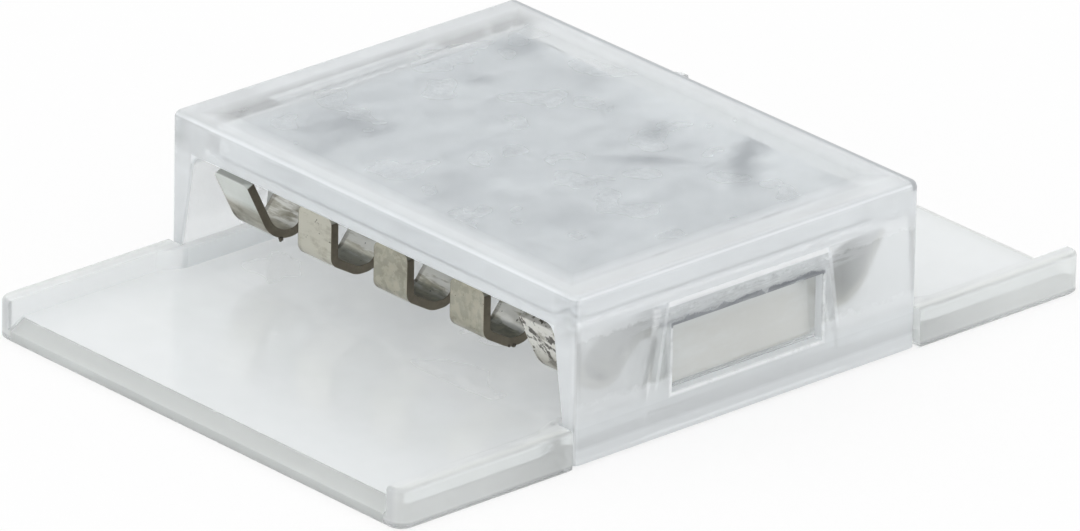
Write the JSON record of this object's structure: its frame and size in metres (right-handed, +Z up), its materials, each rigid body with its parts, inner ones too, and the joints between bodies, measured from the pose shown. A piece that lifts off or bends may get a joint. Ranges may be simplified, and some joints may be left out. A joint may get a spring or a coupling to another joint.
{
  "type": "led strip clip connector",
  "caption": "Clear plastic clip connector that joins two LED strip ends: a flat base plate with side rails and latch tongues, and a clip-on cover that carries a row of spring contacts.",
  "frame": {"origin": "middle of the base plate's underside", "axes": "+X along the LED strips, +Y across them, +Z up through the cover"},
  "size_m": [0.0204, 0.0136, 0.0041],
  "materials": {
    "base_plastic": "translucent clear plastic, satin",
    "cover_plastic": "clear plastic, polished outside, frosted under the top",
    "contact_metal": "tin-plated spring metal, dull"
  },
  "bodies": {
    "base": {"base_plate": "base_plastic"},
    "clip_cover": {"cover": "cover_plastic", "contact_1": "contact_metal", "contact_2": "contact_metal", "contact_3": "contact_metal", "contact_4": "contact_metal", "contact_5": "contact_metal"}
  },
  "joints": [
    {"name": "cover_lift", "type": "slide", "parent": "base", "child": "clip_cover", "axis": [0, 0, 1], "range_m": [0, 0.005]}
  ]
}
